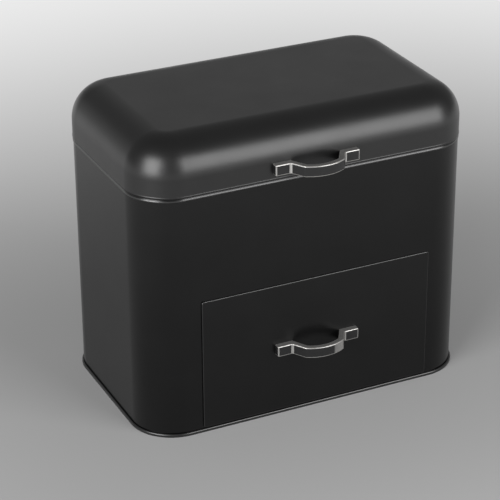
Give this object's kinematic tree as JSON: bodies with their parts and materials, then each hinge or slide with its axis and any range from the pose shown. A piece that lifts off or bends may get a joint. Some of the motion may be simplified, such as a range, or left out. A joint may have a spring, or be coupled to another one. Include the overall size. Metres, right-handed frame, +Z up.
{
  "type": "bread box",
  "caption": "Tall rounded sheet-steel bread box: domed lid hinged at the back, bread compartment, and a drawer below; bow pull on lid and drawer.",
  "frame": {"origin": "middle of the box's foot, on the table", "axes": "+X to the right seen from the front, +Y to the back, +Z up"},
  "size_m": [0.3, 0.2086, 0.26],
  "materials": {
    "body_paint": "satin black powder coat",
    "lid_paint": "satin black powder coat",
    "front_paint": "satin black powder coat",
    "handle_paint": "satin black paint on a die casting",
    "inner_paint": "matt black paint on sheet steel",
    "leaf_paint": "black paint",
    "zinc_sheet": "zinc-plated sheet",
    "bright_steel": "nickel-plated steel"
  },
  "bodies": {
    "cabinet": {"body_shell": "body_paint", "rim_band": "inner_paint", "base_panel": "body_paint", "shelf_panel": "inner_paint", "drawer_rail_left": "zinc_sheet", "drawer_rail_right": "zinc_sheet", "drawer_stops": "zinc_sheet", "hinge_body_leaf_left": "leaf_paint", "hinge_body_leaf_right": "leaf_paint", "hinge_pin_left": "bright_steel", "hinge_pin_right": "bright_steel", "hinge_body_rivets": "bright_steel"},
    "lid": {"lid_shell": "lid_paint", "hinge_lid_leaf_left": "leaf_paint", "hinge_lid_leaf_right": "leaf_paint", "hinge_lid_rivets": "bright_steel", "lid_handle": "handle_paint", "lid_handle_screws": "bright_steel", "lid_handle_washers": "bright_steel"},
    "drawer": {"drawer_front": "front_paint", "drawer_tray": "inner_paint", "drawer_handle": "handle_paint", "drawer_handle_screws": "bright_steel", "drawer_handle_washers": "bright_steel"}
  },
  "joints": [
    {"name": "lid_hinge", "type": "hinge", "parent": "cabinet", "child": "lid", "pos_m": [0, 0.093, 0.2144], "axis": [-1, 0, 0], "range_deg": [0, 100]},
    {"name": "drawer_slide", "type": "slide", "parent": "cabinet", "child": "drawer", "axis": [0, -1, 0], "range_m": [0, 0.118]}
  ]
}
